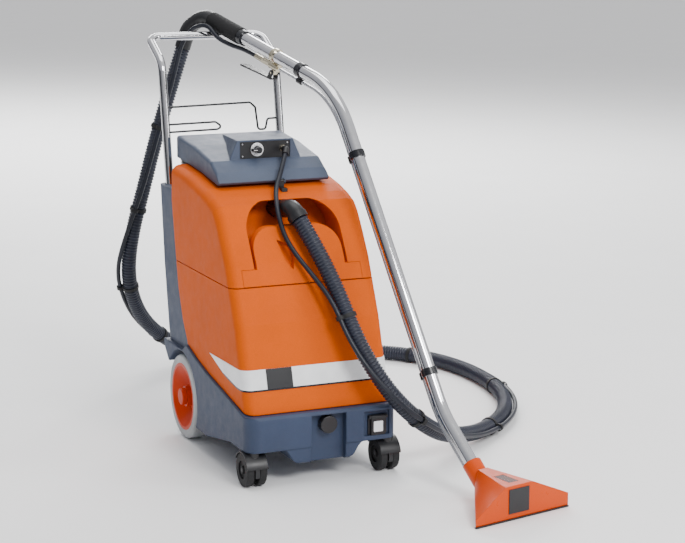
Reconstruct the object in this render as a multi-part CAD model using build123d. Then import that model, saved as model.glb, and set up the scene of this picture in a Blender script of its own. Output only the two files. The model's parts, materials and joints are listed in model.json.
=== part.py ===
from build123d import *
import os
from math import atan2, cos, radians, sin, tan

# Walk-behind carpet cleaner: chassis with a rear column, two stacked tanks, a head cover with the
# controls, a push handle, and a wand with a floor tool that leans on the handle, joined to the
# machine by a vacuum hose and a thin spray hose.  Millimetres, +Z up, front at -Y.
# The machine's own frame has X = 0 in its middle plane and Y = 0 at the foot of the tank front;
# the last step moves everything so that the origin is the middle of the footprint, on the floor.

# ---- driving dimensions -------------------------------------------------------------------
TANK_HALF_W = 172.0
BUMPER_OUT = 6.0              # chassis beyond the tank's side
COLUMN_IN = 4.0               # column inside the tank's side
CHASSIS_HALF_W = TANK_HALF_W + BUMPER_OUT
COLUMN_HALF_W = TANK_HALF_W - COLUMN_IN
HOOD_HALF_W = 134.0
SEAM_Z = 420.0
WALL = 4.0
SIDE_WALL = 14.0              # tank sides: thicker, so that the rounded shoulders keep their wall
CHASSIS_WALL = 5.0
FIT = 0.4                     # gap between still pieces that fit into one another
RUN_FIT = 0.05                # radial clearance of a running fit
SEAM_GAP = 2.0                # height of the gasket between the two tanks

FRONT_Y = -22.0               # chassis bumper face
COLUMN_TOP = 585.0

WHEEL_R = 100.0
WHEEL_Y = 428.0
WHEEL_W = 42.0
WHEEL_OUT = CHASSIS_HALF_W - 2.0
RIM_R = 80.0
AXLE_R = 8.0

CASTOR_R = 37.5
CASTOR_X = CHASSIS_HALF_W - 20.0
STEM_Y = -3.0
TRAIL = 15.0
CASTOR_WHEEL_W = 17.0
CASTOR_GAP = 12.0
STEM_R = 5.0
CASTOR_AXLE_R = 4.0
CHASSIS_UNDER = 79.0
BELLY_Z = 43.0
BELLY_HALF_W = CASTOR_X - 70.0   # clear of the swivelling rollers

TUBE_R = 10.0
LEG_X = COLUMN_HALF_W - 22.0
LEG_LEAN = 0.16               # backward lean of the handle legs per unit height
LEG_Y = 594.0
LEG_Z = 610.0
LEG_FOOT_Z = 480.0
BAR_Y = 735.0
BAR_Z = 926.0
LEG_TOP_Z = BAR_Z - 54.0

HOSE_R = 19.0
HOSE_CUFF_R = 23.0
SPRAY_R = 5.5

WAND_R = 15.0
WAND_WALL = 1.5
WAND_YAW = 12.4
SPRAY_TUBE_R = 4.0
SPRAY_TUBE_DROP = 26.0
GRIP_WALL = 6.0
GRIP_R = WAND_R + GRIP_WALL
TOOL_X = 281.0
TOOL_Y = -418.0
TOOL_HALF_W = 126.0

nodes = {}


# ---- helpers ------------------------------------------------------------------------------
def side_prism(points, x_low, x_high):
    """A solid with a side outline given as (y, z) points, between two X values."""
    outline = Polyline(*[(x_low, y, z) for y, z in points], close=True)
    return extrude(make_face(outline), amount=x_high - x_low, dir=(1, 0, 0))


def front_prism(points, y_low, y_high):
    """A solid with a front outline given as (x, z) points, between two Y values."""
    outline = Polyline(*[(x, y_low, z) for x, z in points], close=True)
    return extrude(make_face(outline), amount=y_high - y_low, dir=(0, 1, 0))


def box(x0, x1, y0, y1, z0, z1):
    return Pos((x0 + x1) / 2, (y0 + y1) / 2, (z0 + z1) / 2) * Box(x1 - x0, y1 - y0, z1 - z0)


def rod(radius, start, end):
    """A round bar between two points."""
    axis = Vector(*end) - Vector(*start)
    plane = Plane(origin=start, z_dir=axis)
    return extrude(plane * Circle(radius), amount=axis.length)


def ring(outer, inner, start, end):
    return rod(outer, start, end) - rod(inner, start, end)


def swept(radius, points, radii, inner=0.0):
    """A round tube along straight runs joined by tangent arcs."""
    path = FilletPolyline(*points, radius=radii) if radii else Polyline(*points)
    plane = Plane(origin=points[0], z_dir=Vector(*points[1]) - Vector(*points[0]))
    section = Circle(radius) - Circle(inner) if inner else Circle(radius)
    return sweep(plane * section, path=path)


def turn(before, corner, after):
    return (Vector(*corner) - Vector(*before)).get_angle(Vector(*after) - Vector(*corner))


def corner_radii(points):
    """One radius for each corner: as large as its two runs allow."""
    radii = []
    for before, corner, after in zip(points, points[1:], points[2:]):
        run = min((Vector(*corner) - Vector(*before)).length, (Vector(*after) - Vector(*corner)).length)
        radii.append(0.45 * run / tan(radians(turn(before, corner, after) / 2)))
    return radii


# ---- side outlines, as (y, z) --------------------------------------------------------------
TANK_FRONT = [(0.0, 158.5), (30.0, 258.0), (58.0, 345.0), (92.0, 420.0),
              (114.0, 470.0), (146.0, 522.0), (176.0, 566.0)]
TANK_TOP = [(198.0, 587.0), (232.0, 601.0), (276.0, 613.0), (392.0, 634.0), (494.0, 644.0)]
DECK = [(6.0, 157.0), (136.0, 180.0), (234.0, 195.0), (317.0, 212.0), (395.0, 234.0)]
COLUMN_FRONT = [(401.0, 245.0), (429.0, 285.0), (459.0, 360.0), (473.0, 428.0), (498.0, 560.0)]
COLUMN_BACK = [(612.0, COLUMN_TOP), (592.0, 400.0), (566.0, 250.0), (552.0, 195.0), (526.0, 170.0)]


def along(points, value, by=1):
    """The other coordinate of a (y, z) line at a given z (by=1) or y (by=0)."""
    for low, high in zip(points, points[1:]):
        if min(low[by], high[by]) <= value <= max(low[by], high[by]):
            share = (value - low[by]) / (high[by] - low[by])
            return low[1 - by] + share * (high[1 - by] - low[1 - by])
    raise ValueError("outside the line")


def shifted(points, dy, dz=0.0):
    return [(y + dy, z + dz) for y, z in points]


def arch(half_w, z_low, z_high, corner_r, y_low, y_high):
    """A prism along Y with two rounded upper corners."""
    block = box(-half_w, half_w, y_low, y_high, z_low, z_high)
    tops = [e for e in block.edges().filter_by(Axis.Y) if e.center().Z > (z_low + z_high) / 2]
    return fillet(tops, corner_r)


def pick(solid, test):
    """Edges whose middle passes a test on (x, y, z)."""
    return [e for e in solid.edges() if test(*tuple(e @ 0.5))]


# ---- tanks --------------------------------------------------------------------------------
COLUMN_GAP = 1.5
TANK_EDGE_R = 22.0
SHOULDER_R = 22.0
ALCOVE_HALF_W = 111.0
ALCOVE_TOP = 592.0
ALCOVE_R = 62.0
ALCOVE_DEPTH = 90.0
FILLER_HALF_W = 105.0
FILLER_TOP = 541.0
FILLER_R = 50.0
FILLER_BASE_HALF_W = 141.0
FILLER_BASE_TOP = 457.0
FILLER_T = 22.0
NOTCH_DEPTH = 14.0
FILLER_IN = 60.0             # filler neck behind the tank front
TANK_MOUTH_R = 70.0
TANK_MOUTH_Y = 400.0


def lower_outline(grow=0.0):
    front = [p for p in TANK_FRONT if p[1] < SEAM_Z] + [(along(TANK_FRONT, SEAM_Z), SEAM_Z)]
    rear = [p for p in reversed(COLUMN_FRONT) if p[1] < SEAM_Z]
    rear = [(along(COLUMN_FRONT, SEAM_Z), SEAM_Z)] + rear
    bottom = [(y, z + FIT) for y, z in reversed(DECK)]
    return shifted(front, -grow) + shifted(rear, -COLUMN_GAP) + bottom[:-1]


def upper_outline():
    low = SEAM_Z + SEAM_GAP
    front = [(along(TANK_FRONT, low), low)] + [p for p in TANK_FRONT if p[1] > low]
    rear = [p for p in reversed(COLUMN_FRONT) if p[1] > low] + [(along(COLUMN_FRONT, low), low)]
    return front + TANK_TOP + shifted(rear, -COLUMN_GAP)


def inner_prism(points, half_w, wall):
    """The hollow of a tank: its side outline moved in by the wall."""
    outline = Polyline(*[(-half_w + SIDE_WALL, y, z) for y, z in points], close=True)
    face = offset(make_face(outline), amount=-wall, kind=Kind.INTERSECTION)
    return extrude(face, amount=2 * (half_w - SIDE_WALL), dir=(1, 0, 0))


def tank_lower(grow=0.0):
    solid = side_prism(lower_outline(grow), -TANK_HALF_W - grow, TANK_HALF_W + grow)
    def on_front(x, y, z):
        near = abs(y + grow - along(TANK_FRONT, z)) < 1 if 159 < z < SEAM_Z - 1 else False
        return abs(x) > TANK_HALF_W + grow - 1 and near
    return fillet(pick(solid, on_front), TANK_EDGE_R + grow)


def alcove_band(depth):
    """Side outline of what lies in front of a line that far behind the tank's front."""
    back = [(along(TANK_FRONT, SEAM_Z - 30) + depth, SEAM_Z - 30)]
    back += [(y + depth, z) for y, z in TANK_FRONT if z > SEAM_Z - 30]
    return [(-60, SEAM_Z - 30)] + back + [(back[-1][0] + 34, 640), (-60, 640)]


def alcove():
    """The arched hollow in the front of the upper tank, and the seat of the filler cover."""
    low = SEAM_Z - 20.0
    upper = arch(ALCOVE_HALF_W, low, ALCOVE_TOP, ALCOVE_R, -50, 330)
    seat = box(-FILLER_BASE_HALF_W - FIT, FILLER_BASE_HALF_W + FIT, -50, 330, low, FILLER_BASE_TOP + FIT)
    return (upper & side_prism(alcove_band(ALCOVE_DEPTH), -200, 200),
            seat & side_prism(alcove_band(FILLER_T + FIT), -200, 200))


def tanks():
    low = tank_lower() - inner_prism(lower_outline(), TANK_HALF_W, WALL)
    filler_y = along(TANK_FRONT, SEAM_Z) + FILLER_IN
    low -= rod(FILLER_BORE_R, (0, filler_y, SEAM_Z - 10), (0, filler_y, SEAM_Z + 10))
    nodes["solution_tank"] = low

    solid = side_prism(upper_outline(), -TANK_HALF_W, TANK_HALF_W)
    def on_side(x, y, z):
        front = z < 566 and abs(y - along(TANK_FRONT, z)) < 1 if z > SEAM_Z + 3 else False
        top = z > 570 and y < 492
        return abs(x) > TANK_HALF_W - 1 and (front or top)
    solid = fillet(pick(solid, on_side), SHOULDER_R)
    guard_half = FILLER_BASE_HALF_W + WALL
    guard = side_prism(alcove_band(ALCOVE_DEPTH + WALL), -guard_half, guard_half)
    shell = solid - (inner_prism(upper_outline(), TANK_HALF_W, WALL) - guard)
    for hollow in alcove():
        shell -= hollow
    shell -= rod(TANK_MOUTH_R, (0, TANK_MOUTH_Y, 600), (0, TANK_MOUTH_Y, 680))
    shell -= rod(PORT_R + FIT, port_start(), port_knee())
    nodes["recovery_tank"] = shell

    edge = 10.0
    gasket = side_prism([(along(TANK_FRONT, SEAM_Z) + edge, SEAM_Z), (along(COLUMN_FRONT, SEAM_Z) - edge, SEAM_Z),
                         (along(COLUMN_FRONT, SEAM_Z) - edge, SEAM_Z + SEAM_GAP),
                         (along(TANK_FRONT, SEAM_Z) + edge, SEAM_Z + SEAM_GAP)],
                        -TANK_HALF_W + edge, TANK_HALF_W - edge)
    gasket_hole = box(-TANK_HALF_W + 3 * edge, TANK_HALF_W - 3 * edge, 90 + 3 * edge + ALCOVE_DEPTH,
                      along(COLUMN_FRONT, SEAM_Z) - 3 * edge, SEAM_Z - 1, SEAM_Z + 5)
    front_room = box(-FILLER_BASE_HALF_W - 6, FILLER_BASE_HALF_W + 6, 80, 92 + ALCOVE_DEPTH + 12,
                     SEAM_Z - 1, SEAM_Z + 5)
    nodes["tank_gasket"] = gasket - gasket_hole - front_room


FILLER_BORE_R = 24.0
FILLER_FLANGE = 5.0


def filler():
    """The arched front cover over the filler, its finger notch, and the filler strainer."""
    low = SEAM_Z + SEAM_GAP + FIT
    leaf = arch(FILLER_HALF_W, low, FILLER_TOP, FILLER_R, -50, 330)
    leaf += box(-FILLER_BASE_HALF_W, FILLER_BASE_HALF_W, -50, 330, low, FILLER_BASE_TOP)
    front = [(along(TANK_FRONT, low), low)] + [p for p in TANK_FRONT if p[1] > low]
    back = [(y + FILLER_T, z) for y, z in reversed(front)]
    leaf &= side_prism(front + back, -200, 200)
    notch = front_prism([(-46, 514), (-18, 504), (-12, 478), (-20, 452), (-34, 470)], 60, 190)
    notch &= side_prism(alcove_band(NOTCH_DEPTH), -200, 200)
    nodes["filler_cover"] = leaf - notch
    filler_y = along(TANK_FRONT, SEAM_Z) + FILLER_IN
    top = SEAM_Z + 14
    strainer = rod(FILLER_BORE_R - FIT, (0, filler_y, SEAM_Z - 60), (0, filler_y, SEAM_Z))
    strainer += rod(FILLER_BORE_R + FILLER_FLANGE, (0, filler_y, SEAM_Z), (0, filler_y, top))
    strainer -= rod(FILLER_BORE_R - 4, (0, filler_y, SEAM_Z - 56), (0, filler_y, top + 1))
    nodes["filler_strainer"] = strainer


# ---- stripe round the lower tank -------------------------------------------------------------
STRIPE_LOW = 211.0
STRIPE_HIGH = 254.0
STRIPE_T = 1.2
BADGE_X = (-118.0, -58.0)


def stripe():
    """A white band with a pointed tail on each side, and a plain dark block on it."""
    skin = tank_lower(STRIPE_T) - tank_lower(0.0)
    tail = [(-20, STRIPE_LOW), (60, STRIPE_LOW), (150, STRIPE_LOW + 12), (238, STRIPE_HIGH - 6),
            (150, STRIPE_HIGH - 4), (60, STRIPE_HIGH - 2), (-20, STRIPE_HIGH)]
    band = skin & side_prism(tail, -200, 200)
    block = box(BADGE_X[0], BADGE_X[1], -30, 80, STRIPE_LOW, STRIPE_HIGH - 1)
    nodes["stripe_band"] = band
    nodes["stripe_block"] = (tank_lower(2 * STRIPE_T) - tank_lower(STRIPE_T)) & block


# ---- chassis --------------------------------------------------------------------------------
CORNER_R = 34.0
ARCH_GAP = 12.0
DRAIN_X = 12.0
DRAIN_Z = 126.0
DRAIN_R = 20.0
RECESS_Y = -2.0
SOCKET_X = CHASSIS_HALF_W - 49.0
SOCKET_Z = 113.0
SOCKET_HALF = 22.0
PLATE_HALF_W = 70.0
SHELF_Z = 330.0
MOTOR_R = 40.0
MOTOR_Y = 515.0
PLATE_Y = (120.0, 360.0)


def chassis():
    lip = [(FRONT_Y, 80.0), (FRONT_Y, 152.0), (FRONT_Y + 6, 158.0), (2.0, 157.0)]
    side = lip + DECK + COLUMN_FRONT + [(504.0, COLUMN_TOP)] + COLUMN_BACK
    side += [(526.0, 50.0), (254.0, 50.0), (92.0, CHASSIS_UNDER), (FRONT_Y + 4, CHASSIS_UNDER)]
    body = side_prism(side, -CHASSIS_HALF_W, CHASSIS_HALF_W)
    for s in (-1, 1):
        x0, x1 = sorted((s * COLUMN_HALF_W, s * (CHASSIS_HALF_W + 1)))
        body -= side_prism([(420.0, 215.0), (700.0, 215.0), (700.0, 700.0), (380.0, 700.0), (380.0, 238.0)],
                           x0, x1)
    def rounded(x, y, z):
        front = abs(y - FRONT_Y) < 1 and abs(x) > CHASSIS_HALF_W - 1 and 85 < z < 150
        return front
    body = fillet(pick(body, rounded), CORNER_R)
    back = pick(body, lambda x, y, z: abs(x) > COLUMN_HALF_W - 1 and y > 540 and 255 < z < 580)
    body = fillet(back, 22.0)
    drop = CHASSIS_UNDER - BELLY_Z
    flank = [(8.0, -1.0), (1.0, 2.0), (-5.0, 8.0), (-11.0, 18.0), (-18.0, 28.0), (-26.0, 33.5), (-34.0, drop)]
    left = [(-BELLY_HALF_W - dx, CHASSIS_UNDER - dz) for dx, dz in flank]
    right = [(-x, z) for x, z in reversed(left)]
    belly = front_prism(left + right, FRONT_Y + 3, 526.0)
    front_edges = [e for e in belly.edges() if abs((e @ 0.5).Y - FRONT_Y - 3) < 0.1 and (e @ 0.5).Z < BELLY_Z + 0.1]
    belly = fillet(front_edges, 12.0)
    body += belly
    # hollow for the pump below the tank and for the vacuum motor in the column
    room = [(FRONT_Y + 32, 90.0), (FRONT_Y + 32, 148.0), (136.0, 170.0), (234.0, 185.0), (317.0, 202.0),
            (400.0, 228.0), (440.0, 292.0), (468.0, 360.0), (482.0, 428.0), (507.0, 560.0),
            (514.0, COLUMN_TOP - 6), (604.0, COLUMN_TOP - 6), (584.0, 400.0), (558.0, 250.0), (518.0, 120.0),
            (518.0, 56.0), (120.0, 56.0)]
    body -= side_prism(room, -118.0, 118.0)
    body += box(-119, 119, MOTOR_Y - 62, MOTOR_Y + 62, SHELF_Z, SHELF_Z + 5) & side_prism(side, -119, 119)
    body -= box(-PLATE_HALF_W - FIT, PLATE_HALF_W + FIT, PLATE_Y[0] - FIT, PLATE_Y[1] + FIT, 30, 60)
    # wheel pockets, open below and behind
    beyond = CHASSIS_HALF_W + 22
    for s in (-1, 1):
        x_in = WHEEL_OUT - WHEEL_W - 8
        x0, x1 = sorted((s * x_in, s * beyond))
        body -= rod(WHEEL_R + ARCH_GAP, (x0, WHEEL_Y, WHEEL_R), (x1, WHEEL_Y, WHEEL_R))
        body -= box(x0, x1, WHEEL_Y, 640, -10, 168)
        body -= rod(STEM_R + RUN_FIT, (s * CASTOR_X, STEM_Y, 60), (s * CASTOR_X, STEM_Y, STEM_TOP))
        body -= rod(TUBE_R + FIT, leg_point(s, LEG_FOOT_Z - 1), leg_point(s, COLUMN_TOP + 30))
    body -= rod(AXLE_R + FIT, (-beyond, WHEEL_Y, WHEEL_R), (beyond, WHEEL_Y, WHEEL_R))
    # front details: centre recess with the drain, recess with the power socket
    body -= box(-30, 52, FRONT_Y - 1, RECESS_Y, BELLY_Z - 1, 150)
    body -= box(SOCKET_X - 34, SOCKET_X + 28, FRONT_Y - 1, FRONT_Y + 9, 90, 146)
    half = SOCKET_HALF + FIT
    body -= box(SOCKET_X - half, SOCKET_X + half, FRONT_Y - 1, FRONT_Y + 30, SOCKET_Z - half, SOCKET_Z + half)
    body -= rod(DRAIN_SPOUT_R + FIT, (DRAIN_X, RECESS_Y - 5, DRAIN_Z), (DRAIN_X, 40, DRAIN_Z))
    nodes["chassis_base"] = body
    plate = box(-PLATE_HALF_W, PLATE_HALF_W, PLATE_Y[0], PLATE_Y[1], BELLY_Z, BELLY_Z + 6)
    nodes["base_plate"] = plate


STEM_TOP = 104.0
DRAIN_SPOUT_R = 13.0


def leg_y(z):
    return LEG_Y + LEG_LEAN * (z - LEG_Z)


def leg_point(s, z):
    return (s * LEG_X, leg_y(z), z)


def drain():
    """Drain spout through the bumper and the round cap that turns on it."""
    spout = ring(DRAIN_SPOUT_R, DRAIN_SPOUT_R - 3, (DRAIN_X, RECESS_Y - 12, DRAIN_Z), (DRAIN_X, 26, DRAIN_Z))
    nodes["drain_spout"] = spout
    face = RECESS_Y - 19.0
    cap = rod(DRAIN_R, (DRAIN_X, face, DRAIN_Z), (DRAIN_X, RECESS_Y - 1.0, DRAIN_Z))
    cap = fillet(pick(cap, lambda x, y, z: y < face + 0.1), 3.0)
    cap -= rod(DRAIN_SPOUT_R + RUN_FIT, (DRAIN_X, RECESS_Y - 12.4, DRAIN_Z), (DRAIN_X, 0, DRAIN_Z))
    grips = 10
    for i in range(grips):
        cap -= Pos(DRAIN_X, 0, DRAIN_Z) * Rot(0, 360 / grips * i, 0) * rod(2.2, (DRAIN_R + 0.9, face - 1, 0),
                                                                      (DRAIN_R + 0.9, RECESS_Y, 0))
    nodes["drain_cap"] = cap


FLAP_T = 3.0
FLAP_PIN_R = 2.0


def power_socket():
    """Accessory socket let into the bumper, with a sprung flap hinged along its top edge."""
    y0 = FRONT_Y + 9
    body = box(SOCKET_X - SOCKET_HALF, SOCKET_X + SOCKET_HALF, y0 - 3, y0 + 20,
               SOCKET_Z - SOCKET_HALF, SOCKET_Z + SOCKET_HALF)
    body -= rod(15.0, (SOCKET_X, y0 - 4, SOCKET_Z - 2), (SOCKET_X, y0 + 14, SOCKET_Z - 2))
    pin_z = SOCKET_Z + SOCKET_HALF - 3
    pin_y = y0 - 7.2
    lugs = Part()
    for s in (-1, 1):
        x0, x1 = sorted((SOCKET_X + s * (SOCKET_HALF - 5), SOCKET_X + s * SOCKET_HALF))
        lugs += box(x0, x1, pin_y - 3, y0 - 3, pin_z - 3, pin_z + 3)
    pin = rod(FLAP_PIN_R, (SOCKET_X - SOCKET_HALF, pin_y, pin_z), (SOCKET_X + SOCKET_HALF, pin_y, pin_z))
    nodes["socket_body"] = body + lugs + pin
    half = SOCKET_HALF - 5.4
    flap = box(SOCKET_X - half, SOCKET_X + half, pin_y - 2, pin_y - 2 + FLAP_T + 0.6,
               SOCKET_Z - SOCKET_HALF, pin_z - 1)
    flap += rod(3.6, (SOCKET_X - half, pin_y, pin_z), (SOCKET_X + half, pin_y, pin_z))
    flap -= rod(FLAP_PIN_R + RUN_FIT, (SOCKET_X - 30, pin_y, pin_z), (SOCKET_X + 30, pin_y, pin_z))
    nodes["socket_flap"] = flap


# ---- wheels and castors -----------------------------------------------------------------------
HUB_R = 24.0


def rear_wheels():
    out = WHEEL_OUT + 3
    nodes["rear_axle"] = rod(AXLE_R, (-out, WHEEL_Y, WHEEL_R), (out, WHEEL_Y, WHEEL_R))
    for name, s in (("left", -1), ("right", 1)):
        def at(x, s=s):
            return (s * x, WHEEL_Y, WHEEL_R)
        inner, outer = WHEEL_OUT - WHEEL_W, WHEEL_OUT
        tyre = ring(WHEEL_R, RIM_R, at(inner), at(outer))
        tyre = fillet(pick(tyre, lambda x, y, z: (y - WHEEL_Y) ** 2 + (z - WHEEL_R) ** 2 > 9000), 7.0)
        nodes["tyre_" + name] = tyre
        axis = Plane(origin=at(inner), x_dir=(0, 1, 0), z_dir=(s, 0, 0))
        rim = axis * Cylinder(RIM_R, WHEEL_W, align=(Align.CENTER, Align.CENTER, Align.MIN))
        dish = axis * Pos(0, 0, 14) * Cone(HUB_R + 16, RIM_R - 6, WHEEL_W - 13,
                                          align=(Align.CENTER, Align.CENTER, Align.MIN))
        hub = axis * Pos(0, 0, 14) * Cylinder(HUB_R, WHEEL_W - 20, align=(Align.CENTER, Align.CENTER, Align.MIN))
        back = axis * Pos(0, 0, -1) * Cylinder(RIM_R - 8, 9, align=(Align.CENTER, Align.CENTER, Align.MIN))
        back -= axis * Pos(0, 0, -2) * Cylinder(HUB_R, 12, align=(Align.CENTER, Align.CENTER, Align.MIN))
        rim = rim - dish + hub - back
        rim -= rod(AXLE_R + RUN_FIT, at(inner - 1), at(outer + 1))
        nodes["rim_" + name] = rim
        cap = rod(HUB_R - 4, at(outer - 5.6), at(outer + 6))
        cap = fillet(pick(cap, lambda x, y, z, o=outer: abs(x) > o + 5.9), 4.0)
        cap -= rod(AXLE_R + RUN_FIT, at(outer - 8), at(outer + 3.4))
        nodes["hub_cap_" + name] = cap


def castors():
    for name, s in (("left", -1), ("right", 1)):
        x, y = s * CASTOR_X, STEM_Y + TRAIL
        stem = rod(STEM_R, (x, STEM_Y, CHASSIS_UNDER - 6), (x, STEM_Y, STEM_TOP - 1))
        web = rod(CASTOR_R + 2.0, (x - CASTOR_GAP / 2 + 1, y, CASTOR_R), (x + CASTOR_GAP / 2 - 1, y, CASTOR_R))
        web &= box(x - 50, x + 50, y - 60, y + 60, CASTOR_R - 12, 100)
        full = CASTOR_GAP / 2 + CASTOR_WHEEL_W + 1
        hood = ring(CASTOR_R + 3.5, CASTOR_R + 1.0, (x - full, y, CASTOR_R), (x + full, y, CASTOR_R))
        hood &= box(x - 50, x + 50, y - 60, y + 34, CASTOR_R + 8, 100)
        neck = rod(12.0, (x, STEM_Y, CASTOR_R + 24), (x, STEM_Y, CHASSIS_UNDER - 0.5))
        neck -= rod(CASTOR_R + 1.0, (x - 30, y, CASTOR_R), (x + 30, y, CASTOR_R))
        body = stem + (web + hood + neck)
        half = CASTOR_GAP / 2 + CASTOR_WHEEL_W
        body += rod(CASTOR_AXLE_R, (x - half, y, CASTOR_R), (x + half, y, CASTOR_R))
        nodes["castor_fork_" + name] = body
        for side, t in (("outer", s), ("inner", -s)):
            a, b = x + t * CASTOR_GAP / 2, x + t * half
            wheel = rod(CASTOR_R, (a, y, CASTOR_R), (b, y, CASTOR_R))
            wheel = fillet(wheel.edges().filter_by(GeomType.CIRCLE), 3.0)
            wheel -= rod(20.0, (b - t * 4, y, CASTOR_R), (b + t, y, CASTOR_R)) - rod(
                9.0, (b - t * 4, y, CASTOR_R), (b + t, y, CASTOR_R))
            wheel -= rod(CASTOR_AXLE_R + RUN_FIT, (a - t, y, CASTOR_R), (b + t, y, CASTOR_R))
            nodes[f"castor_wheel_{name}_{side}"] = wheel


# ---- head cover with the controls ----------------------------------------------------------------
HOOD_WALL = 4.0
HOOD_TOP = [(270.0, 627.0), (290.0, 649.0), (326.0, 670.0), (450.0, 692.0), (566.0, 703.0)]
HOOD_FOOT = [(566.0, 652.0), (500.0, 647.0), (392.0, 638.0), (276.0, 621.5)]
PANEL_Y = 328.0
PANEL_HALF_W = 61.0
PANEL_Z = (672.0, 710.0)
DIAL_X = -20.0
DIAL_Z = 692.0
DIAL_R = 16.0
COUPLING_X = 44.0


def hull_block(front, back):
    """A ruled solid between two four-cornered outlines, each given as (x, y, z) points."""
    return loft([make_face(Polyline(*front, close=True)), make_face(Polyline(*back, close=True))], ruled=True)


def hump(grow=0.0):
    """The raised control housing: widest and steepest at its front face, running out at the rear."""
    y0, y1 = PANEL_Y + grow, 560.0 - grow
    front = [(-88 + grow, y0, 640), (-88 + grow, y0, 668 - grow), (-68 + grow, y0, 714 - grow),
             (68 - grow, y0, 714 - grow), (88 - grow, y0, 668 - grow), (88 - grow, y0, 640)]
    back = [(-30 + grow, y1, 640), (-30 + grow, y1, 692 - grow), (-22 + grow, y1, 702.5 - grow),
            (22 - grow, y1, 702.5 - grow), (30 - grow, y1, 692 - grow), (30 - grow, y1, 640)]
    return hull_block(front, back)


def head_cover():
    outline = HOOD_TOP + HOOD_FOOT
    solid = side_prism(outline, -HOOD_HALF_W, HOOD_HALF_W)
    solid = fillet(pick(solid, lambda x, y, z: abs(x) > HOOD_HALF_W - 1 and z > 655 and y < 560), 7.0)
    solid += hump()
    inner = side_prism([(288.0, 600.0), (296.0, 644.0), (330.0, 665.0), (450.0, 687.0), (560.0, 698.0),
                        (560.0, 600.0)], -HOOD_HALF_W + HOOD_WALL, HOOD_HALF_W - HOOD_WALL)
    shell = solid - inner - hump(HOOD_WALL)
    panel_gap = box(-PANEL_HALF_W - FIT, PANEL_HALF_W + FIT, PANEL_Y - 1, PANEL_Y + 10,
                    PANEL_Z[0] - FIT, PANEL_Z[1] + FIT)
    shell -= panel_gap
    nodes["head_cover"] = shell
    panel = box(-PANEL_HALF_W, PANEL_HALF_W, PANEL_Y + 1, PANEL_Y + 4, PANEL_Z[0], PANEL_Z[1])
    panel -= rod(4.0 + RUN_FIT, (DIAL_X, PANEL_Y - 5, DIAL_Z), (DIAL_X, PANEL_Y + 9, DIAL_Z))
    panel -= rod(6.0 + 0.1, (COUPLING_X, PANEL_Y - 5, DIAL_Z), (COUPLING_X, PANEL_Y + 9, DIAL_Z))
    dial = ring(DIAL_R, 8.0, (DIAL_X, PANEL_Y - 0.4, DIAL_Z), (DIAL_X, PANEL_Y + 1, DIAL_Z))
    nodes["control_panel"] = panel + dial
    knob = rod(7.5, (DIAL_X, PANEL_Y - 16, DIAL_Z), (DIAL_X, PANEL_Y + 0.6, DIAL_Z))
    knob += box(DIAL_X - 15, DIAL_X + 7, PANEL_Y - 16, PANEL_Y - 2, DIAL_Z - 3.2, DIAL_Z + 3.2)
    knob += rod(4.0, (DIAL_X, PANEL_Y, DIAL_Z), (DIAL_X, PANEL_Y + 8, DIAL_Z))
    nodes["power_knob"] = knob
    brass = rod(6.0, (COUPLING_X, PANEL_Y - 6, DIAL_Z), (COUPLING_X, PANEL_Y + 8, DIAL_Z))
    hexagon = Plane(origin=(COUPLING_X, PANEL_Y + 1, DIAL_Z), z_dir=(0, -1, 0)) * RegularPolygon(8.5, 6)
    brass += extrude(hexagon, amount=7)
    nodes["quick_coupling"] = brass


# ---- latch, seal and hinge block under the head cover -----------------------------------------------
SEAL_IN = 10.0
SEAL_W = 8.0
SEAL_Y = (300.0, 492.0)


def under_cover():
    def strip(y0, y1, x0, x1):
        """What fills the gap between tank top and cover between two Y values."""
        ys = [y0] + [y for y in (392.0,) if y0 < y < y1] + [y1]
        low = [(y, along(TANK_TOP, y, by=0) + FIT) for y in ys]
        high = [(y, along(HOOD_FOOT, y, by=0) - FIT) for y in reversed(ys)]
        return side_prism(low + high, x0, x1)
    outer, inner = HOOD_HALF_W - SEAL_IN, HOOD_HALF_W - SEAL_IN - SEAL_W
    seal = strip(SEAL_Y[0], SEAL_Y[0] + SEAL_W, -outer, outer) + strip(SEAL_Y[1] - SEAL_W, SEAL_Y[1], -outer, outer)
    nodes["cover_seal"] = seal + strip(*SEAL_Y, -outer, -inner) + strip(*SEAL_Y, inner, outer)
    block = side_prism([(510.0, 600.0), (564.0, 600.0), (564.0, 651.4), (510.0, 646.8)], -126, 126)
    for i in range(9):
        z = 606 + 5 * i
        block -= box(-130, -123, 490, 575, z, z + 2)
        block -= box(123, 130, 490, 575, z, z + 2)
        block -= box(-130, 130, 563, 570, z, z + 2)
    nodes["hinge_block"] = block


# ---- vacuum port, motor, pump, float ------------------------------------------------------------------
PORT_R = 20.5
PORT_Z = 564.0
HOSE_EXIT = (6.9, 136.5, 556.8)
HOSE_NEXT = (34.0, 88.0, 488.0)


def exit_way():
    return (Vector(*HOSE_NEXT) - Vector(*HOSE_EXIT)).normalized()


def port_knee():
    return Vector(*HOSE_EXIT) - exit_way() * 29


def port_start():
    """Where the port passes the back wall of the alcove."""
    return Vector(port_knee().X, along(TANK_FRONT, PORT_Z) + ALCOVE_DEPTH + WALL, PORT_Z)


def hose_port():
    start, way = Vector(*HOSE_EXIT), exit_way()
    route = [tuple(port_start()), tuple(port_knee()), tuple(start - way * 8)]
    nodes["hose_port"] = swept(PORT_R, route, [26.0], inner=PORT_R - 3)
    cuff = ring(HOSE_CUFF_R, PORT_R + 0.1, start - way * 14, start - way * 7)
    cuff += ring(HOSE_CUFF_R, 15.0, start - way * 7.6, start)
    nodes["hose_cuff"] = cuff


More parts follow.
